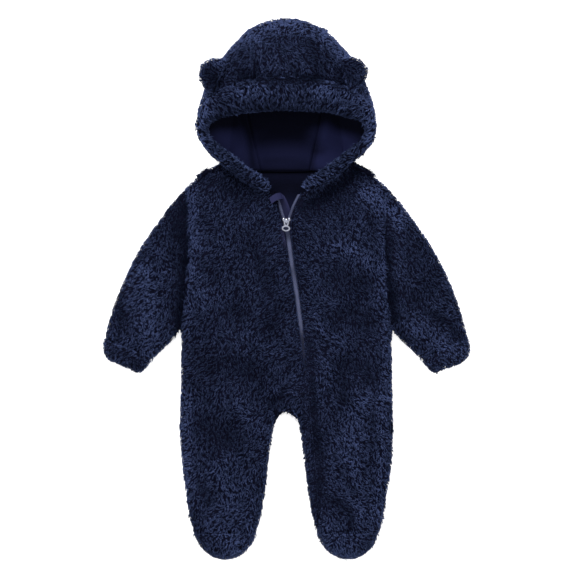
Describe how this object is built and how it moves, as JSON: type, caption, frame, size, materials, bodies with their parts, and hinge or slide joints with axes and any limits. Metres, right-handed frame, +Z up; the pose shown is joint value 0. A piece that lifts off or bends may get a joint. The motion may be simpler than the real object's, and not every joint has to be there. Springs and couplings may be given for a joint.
{
  "type": "footed hooded romper laid flat",
  "caption": "Baby's footed fleece romper with a bear-eared hood and a slanting front zip, laid flat on its back with the hood open.",
  "frame": {"origin": "on the surface under the middle of the garment's outline", "axes": "+Z up from the surface, +Y towards the crown of the hood, +X to the wearer's left"},
  "size_m": [0.515, 0.7586, 0.1029],
  "materials": {
    "sherpa": "navy curly pile",
    "lining": "navy cotton jersey",
    "zip_tape": "navy woven tape",
    "zip_chain": "greyish blue nylon coil",
    "slider_metal": "plated zinc"
  },
  "bodies": {
    "romper": {"front_right": "sherpa", "front_left": "sherpa", "gusset": "sherpa", "back_right": "sherpa", "back_left": "sherpa", "foot_upper_right": "sherpa", "foot_sole_right": "sherpa", "foot_upper_left": "sherpa", "foot_sole_left": "sherpa", "sleeve_right": "sherpa", "cuff_right": "sherpa", "sleeve_left": "sherpa", "cuff_left": "sherpa", "hood_side_right": "sherpa", "hood_lining_side_right": "lining", "hood_centre": "sherpa", "hood_lining_centre": "lining", "hood_side_left": "sherpa", "hood_lining_side_left": "lining", "hood_brim": "sherpa", "ear_right": "sherpa", "ear_left": "sherpa", "neck_lining": "lining", "zip_tape_right": "zip_tape", "zip_chain_right": "zip_chain", "zip_tape_left": "zip_tape", "zip_chain_left": "zip_chain", "zip_guard": "lining", "zip_guard_fold": "lining", "zip_slider": "slider_metal", "zip_bail": "slider_metal"},
    "zip_pull_tab": {"zip_pull": "slider_metal"}
  },
  "joints": [
    {"name": "pull_flip", "type": "hinge", "parent": "romper", "child": "zip_pull_tab", "pos_m": [-0.0001, 0.093, 0.0242], "axis": [-1, 0, 0], "range_deg": [0, 150]}
  ]
}
